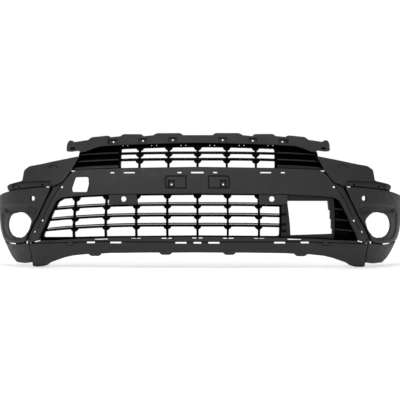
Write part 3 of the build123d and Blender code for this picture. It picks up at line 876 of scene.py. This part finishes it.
def radar_frame():
    """Frame of the sensor window, with three bars on its left column."""
    loop = [(341.4, 308), (500, 301), (562, 292), (562, 108), (500, 110), (341.4, 117)]
    window = rounded([(368, 277), (537, 277), (541, 240), (547, 238), (547, 203), (552, 201), (552, 163),
                      (557, 161), (557, 142), (383, 137)], 2)
    slot = flat(slot_loop(398, 121, 64, 7))
    grooves = []
    for height in LOWER_SLATS + (150,):
        z = slat_level(350, height)
        grooves.append(Sunk(flat([(345, z + 3), (345, z + 13), (364, z + 13), (364, z + 3)]), 9.0, 2.0))
    mesh = panel_mesh(flat(loop), [flat(window), slot], grooves, GRILLE_NEAR, 28.0, 30.0)
    piece = make_object("radar_frame_skin", *mesh, BLIND, GRILLE_WALL)
    fit(piece, "radar_frame")


def sensor_plates():
    """Plates with a parking-sensor hole."""
    height = 285
    shapes = {"sensor_plate_left": ([(-361, 262), (-246, 262), (-246, 303.5), (-361, 302)], -300),
              "sensor_plate_right": ([(250, 262), (366, 262), (366, 302), (250, 303.5)], 302)}
    for node, (loop, x) in shapes.items():
        cover_panel(node, flat(rounded(turned(loop), 4)), [flat(disc(x, height, SENSOR_RADIUS))],
                    [sensor_ring(x, height)])


centre_band()
wings()
fog_bezels()
valance()
valance_corners()
top_rail()
lower_grille()
upper_grille()
louvres()
radar_frame()
sensor_plates()


# ---- floor, light and camera -------------------------------------------------------------------
def studio_floor():
    """Wide pale floor just under the cover."""
    bpy.ops.mesh.primitive_plane_add(size=60, location=(0, 0, LOW[2] - 0.0005))
    floor = bpy.context.object
    floor.name = "studio_floor"
    material, nodes, links, shader, coords = new_material("pale_floor")
    mottle = noise(nodes, links, coords, 3.0, 2.0)
    paper = ramp(nodes, links, mottle.outputs["Fac"], (0.94,) * 3, (0.97,) * 3)
    links.new(paper, shader.inputs["Base Color"])
    links.new(paper, shader.inputs["Emission Color"])
    shader.inputs["Emission Strength"].default_value = FLOOR_GLOW
    shader.inputs["Roughness"].default_value = 0.8
    floor.data.materials.append(material)


def softbox(name, place, aim, size, power):
    """Large area light pointing at a spot."""
    light = bpy.data.lights.new(name, "AREA")
    light.shape = "RECTANGLE"
    light.size, light.size_y = size
    light.energy = power
    lamp = bpy.data.objects.new(name, light)
    lamp.location = place
    lamp.rotation_euler = (Vector(aim) - Vector(place)).to_track_quat("-Z", "Y").to_euler()
    bpy.context.scene.collection.objects.link(lamp)


def studio_world():
    """White surroundings, greyer to both sides."""
    world = bpy.data.worlds.new("studio")
    world.use_nodes = True
    nodes, links = world.node_tree.nodes, world.node_tree.links
    coords = nodes.new("ShaderNodeTexCoord")
    parts = nodes.new("ShaderNodeSeparateXYZ")
    links.new(coords.outputs["Generated"], parts.inputs["Vector"])
    sideways = nodes.new("ShaderNodeMath")
    sideways.operation = "ABSOLUTE"
    links.new(parts.outputs["X"], sideways.inputs[0])
    grey = (SIDE_LIGHT, SIDE_LIGHT, SIDE_LIGHT)
    shade = ramp(nodes, links, sideways.outputs["Value"], (1, 1, 1), grey, 0.3, 0.7)
    links.new(shade, nodes["Background"].inputs["Color"])
    nodes["Background"].inputs["Strength"].default_value = 1.0
    bpy.context.scene.world = world


def camera():
    """Long lens at the height of the centre band."""
    data = bpy.data.cameras.new("camera")
    data.lens = FOCAL_MM
    data.sensor_width = 36
    eye = bpy.data.objects.new("camera", data)
    eye.location = (CAMERA_SIDE, FRONT - CAMERA_DISTANCE, CAMERA_HEIGHT)
    aim = Vector((AIM_SIDE, FRONT, CAMERA_HEIGHT))
    eye.rotation_euler = (aim - eye.location).to_track_quat("-Z", "Y").to_euler()
    bpy.context.scene.collection.objects.link(eye)
    bpy.context.scene.camera = eye


studio_floor()
softbox("key", (-1.2, -3.4, 2.2), (0, 0, 0.3), (3.0, 1.6), 60)
softbox("top", (0.6, -0.6, 3.4), (0, 0, 0.3), (3.6, 2.0), 12)
studio_world()
camera()
bpy.context.scene.view_settings.view_transform = "Standard"
